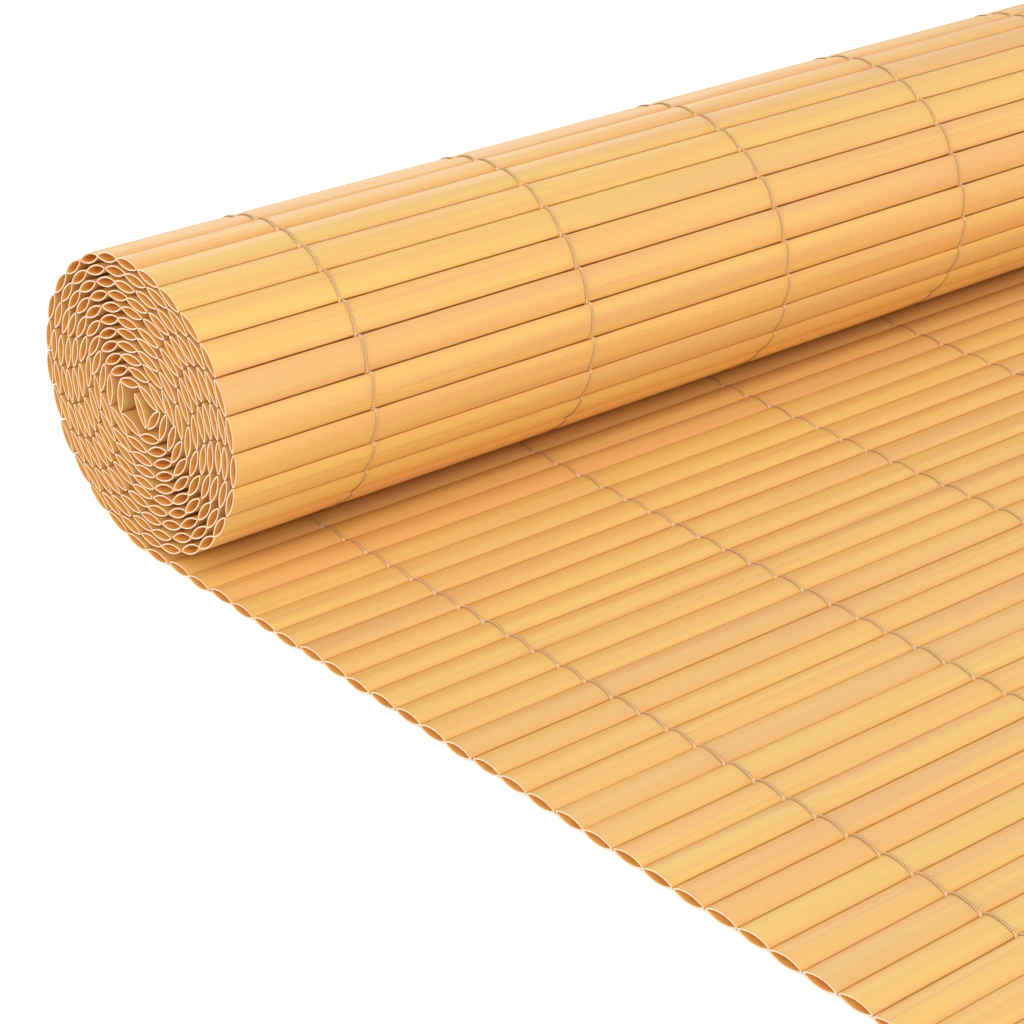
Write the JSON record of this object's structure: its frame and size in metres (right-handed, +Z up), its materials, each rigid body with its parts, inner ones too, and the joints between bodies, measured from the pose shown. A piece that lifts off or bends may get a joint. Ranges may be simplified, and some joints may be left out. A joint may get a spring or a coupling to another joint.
{
  "type": "pvc privacy screen",
  "caption": "Roll-up garden privacy screen of hollow bamboo-coloured plastic slats laced with thread, part rolled and part laid flat.",
  "frame": {"origin": "on the floor, under the middle of the screen's bounding box", "axes": "+X along the slats, +Y from the free front edge of the flat mat towards the roll, +Z up"},
  "size_m": [0.9, 0.529, 0.1108],
  "materials": {
    "slat": "satin, streaked along the slat",
    "thread": "twisted yarn"
  },
  "bodies": {
    "root": {"flat_slats_1": "slat", "flat_slats_2": "slat", "flat_slats_3": "slat", "flat_slats_4": "slat", "flat_slats_5": "slat", "flat_slats_6": "slat", "roll_turn_1": "slat", "roll_turn_2": "slat", "roll_turn_3": "slat", "roll_turn_4": "slat", "roll_turn_5": "slat", "roll_turn_6": "slat", "roll_turn_7": "slat", "roll_turn_8": "slat", "roll_turn_9": "slat", "roll_turn_10": "slat", "roll_turn_11": "slat", "stitch_1_flat": "thread", "stitch_1_roll": "thread", "stitch_2_flat": "thread", "stitch_2_roll": "thread", "stitch_3_flat": "thread", "stitch_3_roll": "thread", "stitch_4_flat": "thread", "stitch_4_roll": "thread", "stitch_5_flat": "thread", "stitch_5_roll": "thread", "stitch_6_flat": "thread", "stitch_6_roll": "thread", "stitch_7_flat": "thread", "stitch_7_roll": "thread", "stitch_8_flat": "thread", "stitch_8_roll": "thread", "stitch_9_flat": "thread", "stitch_9_roll": "thread"}
  },
  "joints": []
}
